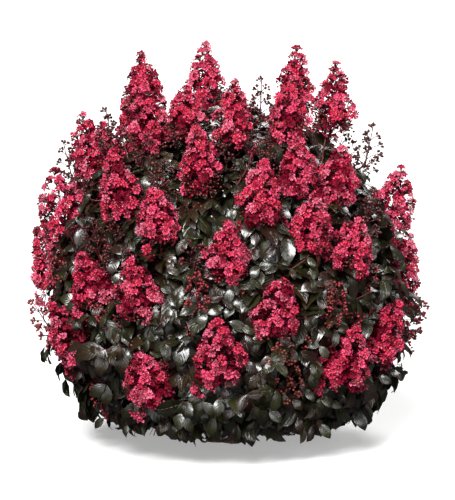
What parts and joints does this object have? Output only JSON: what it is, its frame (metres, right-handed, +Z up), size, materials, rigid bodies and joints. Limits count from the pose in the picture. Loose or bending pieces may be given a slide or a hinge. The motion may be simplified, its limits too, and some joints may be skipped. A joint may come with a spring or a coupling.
{
  "type": "crape myrtle shrub",
  "caption": "Compact rounded crape myrtle shrub in full bloom, dark glossy leaves and upright crimson heads of blossom on boughs from one short stem.",
  "frame": {"origin": "centre of the flat cut under the stem, at ground level", "axes": "+Z up, -Y to the front, +X to the right seen from the front"},
  "size_m": [1.1063, 1.0754, 1.1137],
  "materials": {
    "bark": "smooth cinnamon-brown bark that flakes in patches",
    "foliage_and_blossom": "glossy black-green and wine-purple leaves under crimson-pink crinkled blossom"
  },
  "bodies": {
    "root": {"stem": "bark", "bough_skirt_1": "bark", "bough_skirt_2": "bark", "bough_skirt_3": "bark", "bough_skirt_4": "bark", "bough_skirt_5": "bark", "bough_skirt_6": "bark", "bough_skirt_7": "bark", "bough_waist_1": "bark", "bough_waist_2": "bark", "bough_waist_3": "bark", "bough_waist_4": "bark", "bough_waist_5": "bark", "bough_waist_6": "bark", "bough_waist_7": "bark", "bough_shoulder_1": "bark", "bough_shoulder_2": "bark", "bough_shoulder_3": "bark", "bough_shoulder_4": "bark", "bough_shoulder_5": "bark", "bough_shoulder_6": "bark", "bough_top_1": "bark", "bough_top_2": "bark", "bough_top_3": "bark", "foliage_skirt_1": "foliage_and_blossom", "foliage_skirt_2": "foliage_and_blossom", "foliage_skirt_3": "foliage_and_blossom", "foliage_skirt_4": "foliage_and_blossom", "foliage_skirt_5": "foliage_and_blossom", "foliage_skirt_6": "foliage_and_blossom", "foliage_skirt_7": "foliage_and_blossom", "foliage_waist_1": "foliage_and_blossom", "foliage_waist_2": "foliage_and_blossom", "foliage_waist_3": "foliage_and_blossom", "foliage_waist_4": "foliage_and_blossom", "foliage_waist_5": "foliage_and_blossom", "foliage_waist_6": "foliage_and_blossom", "foliage_waist_7": "foliage_and_blossom", "foliage_shoulder_1": "foliage_and_blossom", "foliage_shoulder_2": "foliage_and_blossom", "foliage_shoulder_3": "foliage_and_blossom", "foliage_shoulder_4": "foliage_and_blossom", "foliage_shoulder_5": "foliage_and_blossom", "foliage_shoulder_6": "foliage_and_blossom", "foliage_top_1": "foliage_and_blossom", "foliage_top_2": "foliage_and_blossom", "foliage_top_3": "foliage_and_blossom"}
  },
  "joints": []
}
